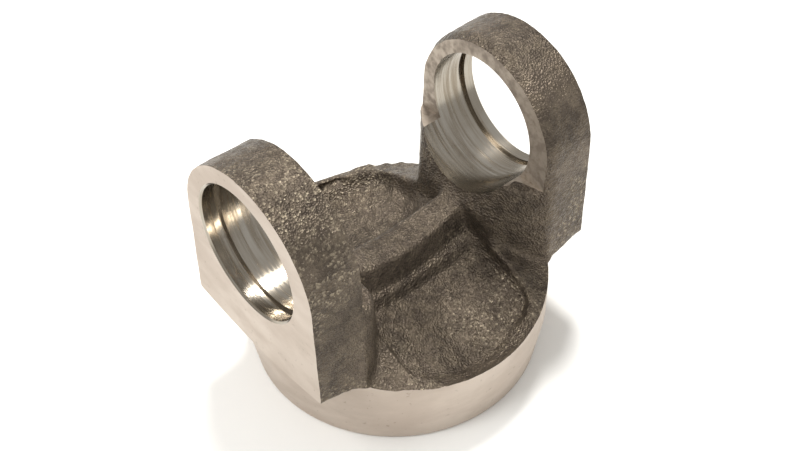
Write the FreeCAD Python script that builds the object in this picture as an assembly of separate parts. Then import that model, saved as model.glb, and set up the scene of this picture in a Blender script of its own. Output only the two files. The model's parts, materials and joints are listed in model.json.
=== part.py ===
import FreeCAD, Part
import math
import os

V = FreeCAD.Vector

# A forged end yoke for a drive shaft.  Millimetres, +Z up along the shaft axis, base on Z = 0.
# The cross-hole axis runs along X, and the two ears stand at +X and -X.
# What is machined is true to these axes.  What is left as forged leans a little about X.

# ---------------------------------------------------------------- driving dimensions
# cross bores
BORE_D = 28.0               # bearing cup bore
BORE_HEIGHT = 44.7          # bore axis above the base
BORE_CHAMFER = 0.4          # lead-in at the outer faces
GROOVE_INSET = 2.65         # outer face to the snap-ring groove
GROOVE_WIDTH = 1.6
GROOVE_DEPTH = 0.9
# ears
ACROSS_EARS = 68.5          # over the two machined outer faces
EAR_WIDTH = 38.0            # across one ear at the bore axis
EAR_ARC_DROP = 0.9          # centre of the ear's top arc, below the bore axis
EAR_DRAFT = 1.8             # degrees, forging draft of the ear's sides
EAR_LIMB_A = 9.8            # plain part of the +X ear's rim, in from the outer face
EAR_LIMB_B = 12.6           # the same on the -X ear, whose die is cut deeper
EAR_BEVEL_R = 3.5           # rounding between that rim and the bevel inside it
UNDERCUT_HEIGHT = 17.8      # where the turned underside of the ears meets the band
UNDERCUT_SLOPE = 18.5       # degrees, rising outwards
# throat between the ears
THROAT_WIDTH = 37.2         # between the forged inner faces, at the ledge
THROAT_DRAFT = 17.0         # degrees, how the inner faces close in below the ledge
THROAT_CORNER_R = 4.0       # from an inner face into the saddle
COLUMN_EDGE_R = 3.0         # upright edges of the inner faces
SADDLE_HEIGHT = 25.3        # top of the rib in the middle
SADDLE_R = 48.0             # shallow hollow along the rib's top
# milled inner boss faces
BOSS_GAP = 46.4             # between the milled faces
LEDGE_HEIGHT = 37.3         # where the cutter stops
# turned band
BAND_D = 63.5
BAND_FOOT_D = 60.7          # at the base, below the taper
TAPER_HEIGHT = 9.8
BASE_CHAMFER = 0.5
# forged shoulder above the band
SHOULDER_HEIGHT = 15.7      # where the shoulder meets the band, midway between the ears
SHOULDER_SLOPE = 28.0       # degrees
SHOULDER_STRETCH = 5.0      # the shoulder's oval is this much longer towards the ears, each side
SHOULDER_TOP = 25.0
FORGING_LEAN = 1.5          # degrees about X, ears towards -Y
# hollows beside the rib
RIB_WIDTH = 7.0             # across the rib's top
RIB_DRAFT = 17.0            # degrees
HOLLOW_WIDTH = 31.4         # along the bore axis
LIP_WIDTH = 2.4             # left standing inside the band's rim
HOLLOW_CORNER_R = 8.0
FLOOR_AT_RIB = 19.8         # height of the hollow's floor at the rib's foot
FLOOR_AT_LIP = 14.4         # height of the hollow's floor beside the lip
FLOOR_CROWN_R = 60.0        # the floor's own hollow, across its slope
# recess under the base
RECESS_D = 38.0
RECESS_DEPTH = 6.5
RECESS_DRAFT = 15.0         # degrees
RECESS_R = 2.5

# ---------------------------------------------------------------- derived places
FACE_X = ACROSS_EARS / 2
INNER_X = THROAT_WIDTH / 2
BOSS_X = BOSS_GAP / 2
BAND_R = BAND_D / 2
BORE_R = BORE_D / 2
EAR_R = EAR_WIDTH / 2
EAR_ARC_Z = BORE_HEIGHT - EAR_ARC_DROP
HOLLOW_X = HOLLOW_WIDTH / 2
LIP_R = BAND_R - LIP_WIDTH
ABOVE = EAR_ARC_Z + EAR_WIDTH       # a height clear of everything
BELOW = -EAR_WIDTH / 2              # a depth clear of everything


def tan(degrees):
    return math.tan(math.radians(degrees))


def polygon(points):
    return Part.Wire([Part.makeLine(a, b) for a, b in zip(points, points[1:] + points[:1])])


def prism(wire, travel):
    return Part.Face(wire).extrude(travel)


def upright(points, half_width):
    """A closed outline of (x, z) points, drawn through along Y."""
    wire = polygon([V(x, -half_width, z) for x, z in points])
    return prism(wire, V(0, 2 * half_width, 0))


def revolve(points):
    """Turn a closed outline of (radius, height) points about Z."""
    wire = polygon([V(r, 0, z) for r, z in points])
    return Part.Face(wire).revolve(V(0, 0, 0), V(0, 0, 1), 360)


def both_ways(shape, normal):
    return [shape, shape.mirror(V(0, 0, 0), normal)]


def as_forged(shape):
    """Lean a forged form about the shoulder's height, off the machined axes."""
    leaning = shape.copy()
    leaning.rotate(V(0, 0, SHOULDER_HEIGHT), V(1, 0, 0), FORGING_LEAN)
    return leaning


def tangent_arc_wire(side, side_tangent, corner, radius, blend, bottom):
    """Half of a mirrored outline: side line's end, corner arc to blend, long arc to bottom."""
    middle = (side_tangent + blend) * 0.5 - corner
    middle.normalize()
    return [Part.makeLine(side, side_tangent),
            Part.Arc(side_tangent, corner + middle * radius, blend).toShape(),
            Part.Arc(blend, bottom, V(-blend.x, blend.y, blend.z)).toShape()]


# ---------------------------------------------------------------- hub
def band_solid():
    """The turned band: a short taper up from the base, then a plain cylinder."""
    foot_r = BAND_FOOT_D / 2
    return revolve([(0, 0), (foot_r - BASE_CHAMFER, 0), (foot_r, BASE_CHAMFER),
                    (BAND_R, TAPER_HEIGHT), (BAND_R, ABOVE), (0, ABOVE)])


def shoulder_oval(height):
    """One level line of the forged shoulder: an oval, longer along X."""
    reach = BAND_R - (height - SHOULDER_HEIGHT) / tan(SHOULDER_SLOPE)
    oval = Part.Ellipse(V(0, 0, height), reach + SHOULDER_STRETCH, reach)
    return Part.Wire(oval.toShape())


def hub():
    """Band below, shoulder sloping up and in above it."""
    shoulder = Part.makeLoft([shoulder_oval(BELOW), shoulder_oval(SHOULDER_TOP)], True, True)
    return band_solid().common(as_forged(shoulder))


# ---------------------------------------------------------------- ears
def ear_outline(x, inset):
    """The ear seen along the bore axis: a round top with flared sides, open to the hub."""
    radius = EAR_R - inset
    lean = math.radians(EAR_DRAFT)
    tangent = V(x, radius * math.cos(lean), EAR_ARC_Z + radius * math.sin(lean))
    foot = V(x, tangent.y + (tangent.z - BELOW) * tan(EAR_DRAFT), BELOW)
    other_tangent = V(x, -tangent.y, tangent.z)
    other_foot = V(x, -foot.y, foot.z)
    top = Part.Arc(tangent, V(x, 0, EAR_ARC_Z + radius), other_tangent).toShape()
    return Part.Wire([Part.makeLine(foot, tangent), top,
                      Part.makeLine(other_tangent, other_foot), Part.makeLine(other_foot, foot)])


def inner_face_x(height):
    """Where the ear's forged inner face is, at one height below the ledge."""
    return INNER_X - (LEDGE_HEIGHT - height) * tan(THROAT_DRAFT)


def ear_body(limb):
    """A plain limb behind the outer face, and a 45 degree bevel that narrows towards the throat."""
    limb_x = FACE_X - limb
    deep_x = inner_face_x(TAPER_HEIGHT) - 1
    narrowing = min(limb_x - deep_x, 0.9 * EAR_R)
    plain = prism(ear_outline(limb_x, 0), V(limb, 0, 0))
    inner = Part.makeLoft([ear_outline(limb_x, 0), ear_outline(deep_x, narrowing)], True, True)
    body = plain.fuse(inner)
    ridge = [e for e in body.Edges
             if abs(e.BoundBox.XMin - limb_x) < 0.01 and abs(e.BoundBox.XMax - limb_x) < 0.01
             and e.BoundBox.ZMax > LEDGE_HEIGHT]
    return body.makeFillet(EAR_BEVEL_R, ridge)


def column(body):
    """The lower part of the ear: its inner face closes in below the ledge."""
    below_ledge = upright([(INNER_X, LEDGE_HEIGHT), (FACE_X + 1, LEDGE_HEIGHT),
                           (FACE_X + 1, TAPER_HEIGHT),
                           (inner_face_x(TAPER_HEIGHT), TAPER_HEIGHT)], EAR_WIDTH)
    return body.common(below_ledge)


def inner_uprights(shape):
    """The two edges where the column's inner face meets its bevels."""
    return [e for e in shape.Edges
            if e.BoundBox.XMax < INNER_X + 0.01 and e.BoundBox.ZMin < TAPER_HEIGHT + 0.01
            and e.BoundBox.ZMax > LEDGE_HEIGHT - 0.01]


def ear(limb):
    """One ear at +X: milled flat above the ledge, a sloping column below it."""
    body = ear_body(limb)
    lower = column(body)
    lower = lower.makeFillet(COLUMN_EDGE_R, inner_uprights(lower))
    upper = body.common(upright([(BOSS_X, LEDGE_HEIGHT - 1), (FACE_X + 1, LEDGE_HEIGHT - 1),
                                 (FACE_X + 1, ABOVE), (BOSS_X, ABOVE)], EAR_WIDTH))
    return as_forged(lower.fuse(upper)).cut(turned_away())


def turned_away():
    """The ring turned off outside the band, up to the ears' sloping underside."""
    out = ACROSS_EARS
    rise = (out - BAND_R) * tan(UNDERCUT_SLOPE)
    ring = revolve([(0, 2 * BELOW), (out, 2 * BELOW), (out, UNDERCUT_HEIGHT + rise),
                    (BAND_R, UNDERCUT_HEIGHT), (0, UNDERCUT_HEIGHT)])
    return ring.cut(band_solid())


# ---------------------------------------------------------------- throat
def saddle():
    """The block that joins the ears: a shallow hollow top that turns up into both inner faces."""
    lean = math.radians(THROAT_DRAFT)
    down = V(-math.sin(lean), 0, -math.cos(lean))
    into_throat = V(-math.cos(lean), 0, math.sin(lean))
    ledge = V(INNER_X, 0, LEDGE_HEIGHT)
    long_centre = V(0, 0, SADDLE_HEIGHT + SADDLE_R)
    start = ledge + into_throat * THROAT_CORNER_R - long_centre
    along = -start.dot(down)
    reach = SADDLE_R - THROAT_CORNER_R
    along += math.sqrt(along ** 2 - start.dot(start) + reach ** 2)
    corner = long_centre + start + down * along
    side = corner - into_throat * THROAT_CORNER_R
    blend = long_centre + (corner - long_centre) * (SADDLE_R / reach)
    turn = (side - corner + blend - corner).normalize()
    middle = corner + turn * THROAT_CORNER_R

    def other(p):
        return V(-p.x, p.y, p.z)

    foot = V(FACE_X / 2 + INNER_X / 2, 0, BELOW)
    shoulder = V(foot.x, 0, side.z)
    outline = Part.Wire([
        Part.makeLine(foot, shoulder),
        Part.makeLine(shoulder, side),
        Part.Arc(side, middle, blend).toShape(),
        Part.Arc(blend, V(0, 0, SADDLE_HEIGHT), other(blend)).toShape(),
        Part.Arc(other(blend), other(middle), other(side)).toShape(),
        Part.makeLine(other(side), other(shoulder)),
        Part.makeLine(other(shoulder), other(foot)),
        Part.makeLine(other(foot), foot)])
    half_width = EAR_R - (FACE_X - EAR_LIMB_A - side.x)
    outline.translate(V(0, -half_width, 0))
    block = prism(outline, V(0, 2 * half_width, 0))
    return as_forged(block).common(band_solid())


# ---------------------------------------------------------------- hollows beside the rib
def hollow_plan():
    """Seen from above: straight beside the ears, then rounded into the lip's circle."""
    corner_x = HOLLOW_X - HOLLOW_CORNER_R
    reach = LIP_R - HOLLOW_CORNER_R
    corner = V(corner_x, -math.sqrt(reach ** 2 - corner_x ** 2), 0)
    side = V(HOLLOW_X, corner.y, 0)
    blend = corner * (LIP_R / reach)
    turn = (side - corner + blend - corner).normalize()
    middle = corner + turn * HOLLOW_CORNER_R
    back = V(HOLLOW_X, 0, 0)

    def other(p):
        return V(-p.x, p.y, p.z)

    return Part.Wire([
        Part.makeLine(back, side),
        Part.Arc(side, middle, blend).toShape(),
        Part.Arc(blend, V(0, -LIP_R, 0), other(blend)).toShape(),
        Part.Arc(other(blend), other(middle), other(side)).toShape(),
        Part.makeLine(other(side), other(back)),
        Part.makeLine(other(back), back)])


def rib_flank(height):
    """Half the rib's width at one height."""
    return RIB_WIDTH / 2 + (SADDLE_HEIGHT - height) * tan(RIB_DRAFT)


def above_floor():
    """Everything above the hollow's floor, which slopes out and is itself a little hollow."""
    axis_z = FLOOR_AT_LIP + FLOOR_CROWN_R
    inner_y = rib_flank(FLOOR_AT_RIB)
    slope = (FLOOR_AT_RIB - FLOOR_AT_LIP) / (LIP_R - inner_y)
    near = FLOOR_AT_RIB + slope * inner_y
    far = FLOOR_AT_LIP - slope * LIP_WIDTH
    outline = polygon([V(0, 0, axis_z), V(0, 0, near), V(0, -BAND_R, far), V(0, -BAND_R, axis_z)])
    return Part.Face(outline).revolve(V(0, 0, axis_z), V(0, 1, 0), 360)


def hollow():
    """The spoon-shaped space pressed in at -Y, between rib, ears and lip."""
    plan = prism(hollow_plan(), V(0, 0, ABOVE))
    front = polygon([V(-BAND_R, -rib_flank(LEDGE_HEIGHT), LEDGE_HEIGHT),
                     V(-BAND_R, -rib_flank(0), 0),
                     V(-BAND_R, -BAND_D, 0),
                     V(-BAND_R, -BAND_D, LEDGE_HEIGHT)])
    return plan.common(prism(front, V(BAND_D, 0, 0))).common(above_floor())


# ---------------------------------------------------------------- machining
def cross_bore():
    """The bore at +X, with a lead-in and a snap-ring groove."""
    end = FACE_X + 1.0
    groove_out = FACE_X - GROOVE_INSET
    groove_in = groove_out - GROOVE_WIDTH
    groove_r = BORE_R + GROOVE_DEPTH
    start = FACE_X - BORE_CHAMFER
    outline = [(0, 0), (0, BORE_R), (groove_in, BORE_R), (groove_in, groove_r),
               (groove_out, groove_r), (groove_out, BORE_R), (start, BORE_R),
               (end, BORE_R + end - start), (end, 0)]
    wire = polygon([V(x, 0, r) for x, r in outline])
    bore = Part.Face(wire).revolve(V(0, 0, 0), V(1, 0, 0), 360)
    bore.translate(V(0, 0, BORE_HEIGHT))
    return bore


def base_recess():
    """The plain forged recess under the base."""
    mouth = RECESS_D / 2
    roof = mouth - RECESS_DEPTH * tan(RECESS_DRAFT)
    cone = Part.makeCone(mouth, roof, RECESS_DEPTH)
    return cone.makeFillet(RECESS_R, [e for e in cone.Edges if e.BoundBox.ZMin > RECESS_DEPTH - 0.01])


# ---------------------------------------------------------------- the yoke
def yoke():
    ears = [ear(EAR_LIMB_A), ear(EAR_LIMB_B).mirror(V(0, 0, 0), V(1, 0, 0))]
    forging = hub().fuse(ears + [saddle()])
    hollows = [as_forged(h) for h in both_ways(hollow(), V(0, 1, 0))]
    forging = forging.cut(hollows)
    bores = both_ways(cross_bore(), V(1, 0, 0))
    return forging.cut(bores + [base_recess()]).removeSplitter()


def main():
    os.makedirs("parts", exist_ok=True)
    part = yoke()
    print("yoke: solids", len(part.Solids), "valid", part.isValid(), "volume", round(part.Volume))
    part.Solids[0].exportStep("parts/yoke.step")


main()
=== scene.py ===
import json
import math

import bmesh
import bpy
import numpy as np
from mathutils import Matrix, Vector, noise


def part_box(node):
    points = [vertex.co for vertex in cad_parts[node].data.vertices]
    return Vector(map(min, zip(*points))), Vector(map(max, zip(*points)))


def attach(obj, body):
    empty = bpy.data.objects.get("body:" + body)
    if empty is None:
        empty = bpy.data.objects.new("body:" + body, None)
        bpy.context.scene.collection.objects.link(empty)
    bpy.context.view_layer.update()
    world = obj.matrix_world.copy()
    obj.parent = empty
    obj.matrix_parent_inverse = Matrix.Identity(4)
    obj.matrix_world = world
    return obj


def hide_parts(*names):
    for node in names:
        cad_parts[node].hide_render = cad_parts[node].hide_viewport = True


# Metres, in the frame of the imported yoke: base on Z = 0, cross-bore axis along X.
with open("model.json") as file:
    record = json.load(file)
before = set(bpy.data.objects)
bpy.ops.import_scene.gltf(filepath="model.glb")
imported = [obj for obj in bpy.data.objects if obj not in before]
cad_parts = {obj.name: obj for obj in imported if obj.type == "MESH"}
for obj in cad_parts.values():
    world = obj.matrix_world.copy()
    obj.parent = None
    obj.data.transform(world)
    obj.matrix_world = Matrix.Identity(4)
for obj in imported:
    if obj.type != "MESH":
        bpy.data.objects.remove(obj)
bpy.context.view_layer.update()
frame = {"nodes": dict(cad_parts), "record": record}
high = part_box("yoke")[1]
mounts = {m["name"]: m for m in frame["record"]["mounts"]}

MM = 0.001
FACE_X = high.x
BORE_R = mounts["cross_bore"]["dims"]["r_mm"] * MM
BORE_Z = mounts["cross_bore"]["pos_m"][2]
BAND_R = mounts["weld_band"]["dims"]["r_mm"] * MM
BOSS_X = 23.2 * MM          # milled inner faces
LEDGE_Z = 37.3 * MM         # where that milling stops
FOOT_R = 30.35 * MM         # the band at the base
TAPER_Z = 9.8 * MM          # top of the band's taper
BASE_CHAMFER = 0.5 * MM
UNDER_Z = 17.8 * MM         # where the ears' turned underside meets the band
UNDER_SLOPE = math.tan(math.radians(18.5))
GROOVE_INSET = 2.65 * MM    # outer face to the snap-ring groove
GROOVE_WIDTH = 1.6 * MM
GROOVE_DEPTH = 0.9 * MM
BORE_CHAMFER = 0.4 * MM
STOCK = 0.7 * MM            # left on for machining, then cut off again
VOXEL = 0.52 * MM           # mesh size of the forged skin
EASING_ROUNDS = 7
HOLLOW_PRESS = 1.9          # mm, how much deeper the hollows are pressed than in the solid
FAR = 50 * MM               # clear of the part
FORGED, TURNED, BORED, MILLED = 0, 1, 2, 3


def new_object(name, mesh):
    obj = bpy.data.objects.new(name, mesh)
    bpy.context.scene.collection.objects.link(obj)
    return obj


def apply_modifiers(obj):
    bpy.context.view_layer.update()
    depsgraph = bpy.context.evaluated_depsgraph_get()
    mesh = bpy.data.meshes.new_from_object(obj.evaluated_get(depsgraph))
    obj.modifiers.clear()
    old = obj.data
    obj.data = mesh
    bpy.data.meshes.remove(old)


def read_points(mesh):
    co = np.empty(len(mesh.vertices) * 3)
    mesh.vertices.foreach_get("co", co)
    return co.reshape(-1, 3)


def write_points(mesh, co):
    mesh.vertices.foreach_set("co", co.ravel())
    mesh.update()


# ---------------------------------------------------------------- the rough forging
def add_stock(mesh):
    """Move each machined surface out by the stock that a forging carries there."""
    co = read_points(mesh)
    near = 0.03 * MM
    side = np.sign(co[:, 0])
    x = np.abs(co[:, 0])
    dz = co[:, 2] - BORE_Z
    rho = np.hypot(co[:, 1], dz)
    bore = (rho < BORE_R + 1.2 * MM) & (x > 15 * MM)
    boss = (np.abs(x - BOSS_X) < near) & (co[:, 2] > LEDGE_Z - near)
    ledge = (np.abs(co[:, 2] - LEDGE_Z) < near) & (x > 17 * MM) & (x < BOSS_X + near)
    outer = x > FACE_X - near
    around = np.hypot(co[:, 0], co[:, 1])
    band = (around > FOOT_R - 1 * MM) & (around < BAND_R + near) & (co[:, 2] < UNDER_Z + near)
    base = co[:, 2] < near
    squeeze = np.where(bore, (BORE_R - STOCK) / np.maximum(rho, 1e-9), 1.0)
    co[:, 1] *= squeeze
    co[:, 2] = BORE_Z + dz * squeeze
    co[boss, 0] -= side[boss] * STOCK
    co[ledge, 2] += STOCK
    co[outer, 0] += side[outer] * STOCK
    grow = (BAND_R + STOCK) / np.maximum(around, 1e-9)
    co[band, 0] *= grow[band]
    co[band, 1] *= grow[band]
    co[base, 2] -= STOCK
    write_points(mesh, co)


def forging_mesh():
    obj = new_object("forged_yoke", frame["nodes"]["yoke"].data.copy())
    add_stock(obj.data)
    weld = obj.modifiers.new("weld", "WELD")
    weld.merge_threshold = 0.004 * MM
    remesh = obj.modifiers.new("remesh", "REMESH")
    remesh.mode = "VOXEL"
    remesh.voxel_size = VOXEL
    apply_modifiers(obj)
    return obj


def neighbours(mesh):
    edges = np.empty(len(mesh.edges) * 2, np.int64)
    mesh.edges.foreach_get("vertices", edges)
    edges = edges.reshape(-1, 2)
    count = np.bincount(edges.ravel(), minlength=len(mesh.vertices)).astype(float)
    return edges, count


def smooth(co, edges, count, weight, rounds):
    """Even out the points, more where weight is 1, as metal flows round a die's edges."""
    for _ in range(rounds):
        total = np.zeros_like(co)
        for axis in range(3):
            total[:, axis] = np.bincount(edges[:, 0], co[edges[:, 1], axis], len(co))
            total[:, axis] += np.bincount(edges[:, 1], co[edges[:, 0], axis], len(co))
        co += (total / count[:, None] - co) * (0.6 * weight)[:, None]
    return co


def normals_of(mesh):
    out = np.empty(len(mesh.vertices) * 3, np.float32)
    mesh.vertex_normals.foreach_get("vector", out)
    return out.reshape(-1, 3).astype(float)


def fbm(points, scale, octaves):
    """Smooth random heights about 0, at one feature size."""
    return np.array([noise.fractal(Vector(p) * scale, 0.9, 2.1, octaves,
                                   noise_basis="PERLIN_ORIGINAL") for p in points])


def step_up(value, start, end):
    t = np.clip((value - start) / (end - start), 0, 1)
    return t * t * (3 - 2 * t)


def rough_skin(obj):
    """Soften the die's edges, then add the forged skin: dents, grain and flow wrinkles."""
    mesh = obj.data
    co = read_points(mesh)
    edges, count = neighbours(mesh)
    rho = np.hypot(co[:, 1], co[:, 2] - BORE_Z)
    around = np.hypot(co[:, 0], co[:, 1])
    x = np.abs(co[:, 0])
    z = co[:, 2]
    throat = (x < BOSS_X - 1.5 * MM) & (z < 36 * MM) & (z > 12 * MM) & (around < 31.2 * MM)
    weight = np.where(throat, 0.8, 0.4)
    bore_wall = rho < BORE_R + 0.3 * MM
    outer = x > FACE_X - 0.2 * MM
    band = (around > BAND_R - 0.2 * MM) & (z < UNDER_Z)
    keep = bore_wall | outer | band | (z < 1 * MM)
    weight = np.where(keep, 0.05, weight)
    co = smooth(co, edges, count, weight, EASING_ROUNDS)
    write_points(mesh, co)
    normal = normals_of(mesh)
    hollow = step_up(-np.abs(co[:, 0]), -16.2 * MM, -13.8 * MM)
    hollow *= step_up(np.abs(co[:, 1]), 6 * MM, 8.5 * MM)
    hollow *= step_up(-around, -29.4 * MM, -26.8 * MM) * step_up(-co[:, 2], -21.5 * MM, -20 * MM)
    angle = np.arctan2(co[:, 1], co[:, 0])
    flow = np.stack([angle * 18 * MM, around * 0.35, co[:, 2] * 0.5], axis=1)
    skin = 0.13 * fbm(co, 1 / (7 * MM), 3) + 0.09 * fbm(co, 1 / (1.5 * MM), 2)
    wrinkle = fbm(flow, 1 / (2.2 * MM), 3)
    skin = np.clip(skin, -0.35, 0.3) + hollow * (0.42 * wrinkle - HOLLOW_PRESS)
    skin *= MM
    co += normal * skin[:, None]
    co[:, 2] = np.minimum(co[:, 2], high.z - 0.01 * MM)
    write_points(mesh, co)


# ---------------------------------------------------------------- machining
def turned_tool(name, profile, slot, steps, about_bore=False):
    """A solid of revolution from (radius, height) points; profile ends both lie on the axis."""
    bm = bmesh.new()
    points = [bm.verts.new((r, 0, z)) for r, z in profile]
    lines = [bm.edges.new(pair) for pair in zip(points, points[1:])]
    bmesh.ops.spin(bm, geom=points + lines, axis=(0, 0, 1), cent=(0, 0, 0), angle=2 * math.pi,
                   steps=steps, use_merge=True)
    bmesh.ops.remove_doubles(bm, verts=bm.verts, dist=1e-7)
    bmesh.ops.recalc_face_normals(bm, faces=bm.faces)
    if about_bore:
        bm.transform(Matrix.Translation((0, 0, BORE_Z)) @ Matrix.Rotation(math.radians(90), 4, "Y"))
    return finish_tool(name, bm, slot)


def block_tool(name, corner_a, corner_b, slot):
    bm = bmesh.new()
    bmesh.ops.create_cube(bm, size=1.0)
    a, b = Vector(corner_a), Vector(corner_b)
    for v in bm.verts:
        v.co = Vector((v.co[i] + 0.5) * (b[i] - a[i]) + a[i] for i in range(3))
    return finish_tool(name, bm, slot)


def finish_tool(name, bm, slot):
    for face in bm.faces:
        face.material_index = slot
    mesh = bpy.data.meshes.new(name)
    bm.to_mesh(mesh)
    bm.free()
    return new_object(name, mesh)


def cut(obj, tool):
    """Take the tool's volume off, and leave its material on the new surface."""
    for material in obj.data.materials:
        tool.data.materials.append(material)
    modifier = obj.modifiers.new("cut", "BOOLEAN")
    modifier.operation = "DIFFERENCE"
    modifier.solver = "MANIFOLD"
    modifier.object = tool
    apply_modifiers(obj)
    bpy.data.objects.remove(tool)


def machine(obj):
    """Face the ears, mill between them, turn the band and base, and bore across."""
    cut(obj, block_tool("face_pos", (FACE_X, -FAR, -FAR), (FAR, FAR, 2 * FAR), TURNED))
    cut(obj, block_tool("face_neg", (-FAR, -FAR, -FAR), (-FACE_X, FAR, 2 * FAR), TURNED))
    cut(obj, block_tool("boss_mill", (-BOSS_X, -FAR, LEDGE_Z), (BOSS_X, FAR, 2 * FAR), MILLED))
    under_far = UNDER_Z + (FAR - BAND_R) * UNDER_SLOPE
    ring = [(0, -2 * FAR), (FAR, -2 * FAR), (FAR, under_far), (BAND_R, UNDER_Z), (BAND_R, TAPER_Z),
            (FOOT_R, BASE_CHAMFER), (FOOT_R - BASE_CHAMFER, 0), (0, 0)]
    cut(obj, turned_tool("band_tool", ring, TURNED, 192))
    groove_out = FACE_X - GROOVE_INSET
    groove_in = groove_out - GROOVE_WIDTH
    start = FACE_X - BORE_CHAMFER
    end = FACE_X + 2 * MM
    half = [(BORE_R, groove_in), (BORE_R + GROOVE_DEPTH, groove_in),
            (BORE_R + GROOVE_DEPTH, groove_out), (BORE_R, groove_out),
            (BORE_R, start), (BORE_R + end - start, end), (0, end)]
    other = [(r, -h) for r, h in reversed(half)]
    cut(obj, turned_tool("bore_tool", other + half, BORED, 160, about_bore=True))


def shade(obj):
    """Smooth shading, with a sharp line wherever a machined surface ends."""
    mesh = obj.data
    mesh.polygons.foreach_set("use_smooth", np.ones(len(mesh.polygons), bool))
    bm = bmesh.new()
    bm.from_mesh(mesh)
    for edge in bm.edges:
        if len(edge.link_faces) == 2:
            a, b = edge.link_faces
            turn = edge.calc_face_angle(0)
            machined = a.material_index != FORGED and b.material_index != FORGED
            sharp = a.material_index != b.material_index or machined and turn > math.radians(16)
            edge.smooth = not sharp
    bm.to_mesh(mesh)
    bm.free()


# ---------------------------------------------------------------- materials
class Nodes:
    """A short way to lay out one material's nodes."""

    def __init__(self, name):
        self.material = bpy.data.materials.new(name)
        self.material.use_nodes = True
        self.tree = self.material.node_tree
        self.shader = self.tree.nodes["Principled BSDF"]
        self.coords = self.tree.nodes.new("ShaderNodeTexCoord").outputs["Object"]

    def link(self, value, socket):
        if hasattr(value, "is_output"):
            self.tree.links.new(value, socket)
        else:
            socket.default_value = value

    def stretched(self, scale):
        node = self.tree.nodes.new("ShaderNodeMapping")
        node.inputs["Scale"].default_value = scale
        self.link(self.coords, node.inputs["Vector"])
        return node.outputs["Vector"]

    def noise(self, scale, detail=3.0, rough=0.55, vector=None, distortion=0.0):
        node = self.tree.nodes.new("ShaderNodeTexNoise")
        node.inputs["Scale"].default_value = scale
        node.inputs["Detail"].default_value = detail
        node.inputs["Roughness"].default_value = rough
        node.inputs["Distortion"].default_value = distortion
        self.link(vector or self.coords, node.inputs["Vector"])
        return node.outputs["Fac"]

    def cells(self, scale):
        node = self.tree.nodes.new("ShaderNodeTexVoronoi")
        node.inputs["Scale"].default_value = scale
        self.link(self.coords, node.inputs["Vector"])
        return node.outputs["Color"], node.outputs["Distance"]

    def math(self, kind, a, b=0.0):
        node = self.tree.nodes.new("ShaderNodeMath")
        node.operation = kind
        self.link(a, node.inputs[0])
        self.link(b, node.inputs[1])
        return node.outputs[0]

    def ramp(self, value, start, end, low=0.0, high=1.0):
        node = self.tree.nodes.new("ShaderNodeMapRange")
        node.interpolation_type = "SMOOTHSTEP"
        self.link(value, node.inputs["Value"])
        for key, number in (("From Min", start), ("From Max", end), ("To Min", low), ("To Max", high)):
            self.link(number, node.inputs[key])
        return node.outputs["Result"]

    def mix(self, amount, a, b):
        node = self.tree.nodes.new("ShaderNodeMix")
        node.data_type = "RGBA"
        self.link(amount, node.inputs["Factor"])
        self.link(a, node.inputs[6])
        self.link(b, node.inputs[7])
        return node.outputs[2]

    def bump(self, height, distance, strength=1.0):
        node = self.tree.nodes.new("ShaderNodeBump")
        node.inputs["Distance"].default_value = distance
        node.inputs["Strength"].default_value = strength
        self.link(height, node.inputs["Height"])
        self.link(node.outputs["Normal"], self.shader.inputs["Normal"])


def colour(r, g, b):
    """A colour as seen, 0 to 255, as linear light."""
    return tuple(((v / 255 + 0.055) / 1.055) ** 2.4 for v in (r, g, b)) + (1.0,)


def forged_material():
    n = Nodes("forged_skin")
    patches = n.ramp(n.noise(75, 3, 0.6), 0.38, 0.66)
    base = n.mix(patches, colour(74, 65, 56), colour(98, 87, 76))
    mottled = n.ramp(n.noise(420, 3, 0.6), 0.35, 0.68)
    base = n.mix(n.math("MULTIPLY", mottled, 0.5), base, colour(120, 108, 92))
    grains, distance = n.cells(2300)
    separate = n.tree.nodes.new("ShaderNodeSeparateColor")
    n.link(grains, separate.inputs[0])
    # Pale specks on random grain cells, thinned by a noise: painted glints (sparkle) mixed into the
    # base colour.
    painted_glint_specks = n.ramp(separate.outputs[0], 0.72, 0.95)
    pits = n.ramp(separate.outputs[1], 0.70, 0.95)
    painted_glint_amount = n.ramp(n.noise(55, 2, 0.5), 0.44, 0.66, 0.04, 0.45)
    base = n.mix(n.math("MULTIPLY", painted_glint_specks, painted_glint_amount), base, colour(190, 176, 152))
    base = n.mix(n.math("MULTIPLY", pits, 0.35), base, colour(62, 54, 46))
    n.link(base, n.shader.inputs["Base Color"])
    n.shader.inputs["Metallic"].default_value = 0.75
    n.link(n.ramp(n.noise(900, 2, 0.6), 0.3, 0.7, 0.3, 0.52), n.shader.inputs["Roughness"])
    height = n.math("ADD", n.noise(1300, 4, 0.65), n.math("MULTIPLY", distance, 0.8))
    n.bump(height, 0.00034, 0.9)
    return n.material


def streaked_material(name, pale, dark, streak_scale, metallic, rough_low, rough_high):
    n = Nodes(name)
    streaks = n.noise(1.0, 4, 0.6, n.stretched(streak_scale))
    patches = n.ramp(n.noise(60, 4, 0.6), 0.35, 0.7)
    base = n.mix(n.ramp(streaks, 0.35, 0.68), pale, dark)
    base = n.mix(n.math("MULTIPLY", patches, 0.55), base, dark)
    specks = n.ramp(n.noise(900, 2, 0.5), 0.66, 0.74)
    base = n.mix(n.math("MULTIPLY", specks, 0.35), base, colour(120, 104, 88))
    n.link(base, n.shader.inputs["Base Color"])
    n.shader.inputs["Metallic"].default_value = metallic
    n.link(n.ramp(streaks, 0.3, 0.7, rough_low, rough_high), n.shader.inputs["Roughness"])
    n.bump(streaks, 0.00004, 0.5)
    return n.material


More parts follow.
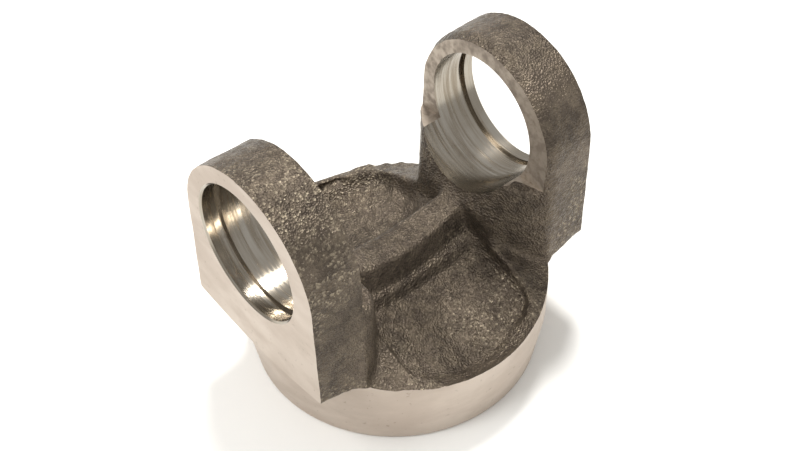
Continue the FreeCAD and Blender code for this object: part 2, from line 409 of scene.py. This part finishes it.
def all_materials():
    turned = streaked_material("turned_steel", colour(190, 177, 164), colour(178, 164, 151),
                               (70, 70, 160), 0.35, 0.42, 0.6)
    bored = streaked_material("bored_steel", colour(168, 162, 152), colour(136, 126, 112),
                              (1500, 60, 60), 1.0, 0.14, 0.3)
    milled = streaked_material("milled_steel", colour(168, 156, 142), colour(128, 116, 104),
                               (500, 500, 500), 0.6, 0.4, 0.6)
    return [forged_material(), turned, bored, milled]


# ---------------------------------------------------------------- build
yoke = forging_mesh()
rough_skin(yoke)
yoke.data.materials.clear()
for material in all_materials():
    yoke.data.materials.append(material)
yoke.data.polygons.foreach_set("material_index", np.zeros(len(yoke.data.polygons), np.int32))
machine(yoke)
shade(yoke)
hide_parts("yoke")
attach(yoke, "root")


# ---------------------------------------------------------------- stage
def pale_floor():
    mesh = bpy.data.meshes.new("floor")
    mesh.from_pydata([(-3, -3, 0), (3, -3, 0), (3, 3, 0), (-3, 3, 0)], [], [(0, 1, 2, 3)])
    floor = new_object("floor", mesh)
    floor.location.z = -0.05 * MM
    material = bpy.data.materials.new("floor")
    material.use_nodes = True
    shader = material.node_tree.nodes["Principled BSDF"]
    shader.inputs["Base Color"].default_value = (0.93, 0.925, 0.9, 1)
    shader.inputs["Roughness"].default_value = 0.8
    shader.inputs["Specular IOR Level"].default_value = 0.1
    mesh.materials.append(material)


def soft_lamp(place, size, watts, tint=(1, 1, 1)):
    lamp = bpy.data.lights.new("softbox", "AREA")
    lamp.shape = "DISK"
    lamp.size = size
    lamp.energy = watts
    lamp.color = tint
    obj = bpy.data.objects.new("softbox", lamp)
    bpy.context.scene.collection.objects.link(obj)
    obj.location = place
    obj.rotation_euler = (Vector((0, 0, 0.02)) - Vector(place)).to_track_quat("-Z", "Y").to_euler()


def light_and_camera():
    world = bpy.data.worlds.new("studio")
    bpy.context.scene.world = world
    world.use_nodes = True
    world.node_tree.nodes["Background"].inputs["Color"].default_value = (1.0, 0.995, 0.98, 1)
    world.node_tree.nodes["Background"].inputs["Strength"].default_value = 0.7
    soft_lamp((0.22, 0.22, 0.8), 0.2, 6.5, (1.0, 0.99, 0.97))
    soft_lamp((-0.4, 0.05, 0.6), 0.3, 2.2)
    camera = bpy.data.cameras.new("camera")
    camera.lens = 56.536
    camera.sensor_width = 36
    camera.sensor_fit = "HORIZONTAL"
    camera.clip_start = 0.01
    obj = bpy.data.objects.new("camera", camera)
    bpy.context.scene.collection.objects.link(obj)
    turn = Matrix(((0.762963, 0.466195, -0.447827),
                   (-0.646188, 0.530582, -0.548566),
                   (-0.018130, 0.707916, 0.706064))).to_4x4()
    obj.matrix_world = Matrix.Translation((-0.111394, -0.138685, 0.206850)) @ turn
    bpy.context.scene.camera = obj


pale_floor()
light_and_camera()
bpy.context.scene.view_settings.view_transform = "Standard"
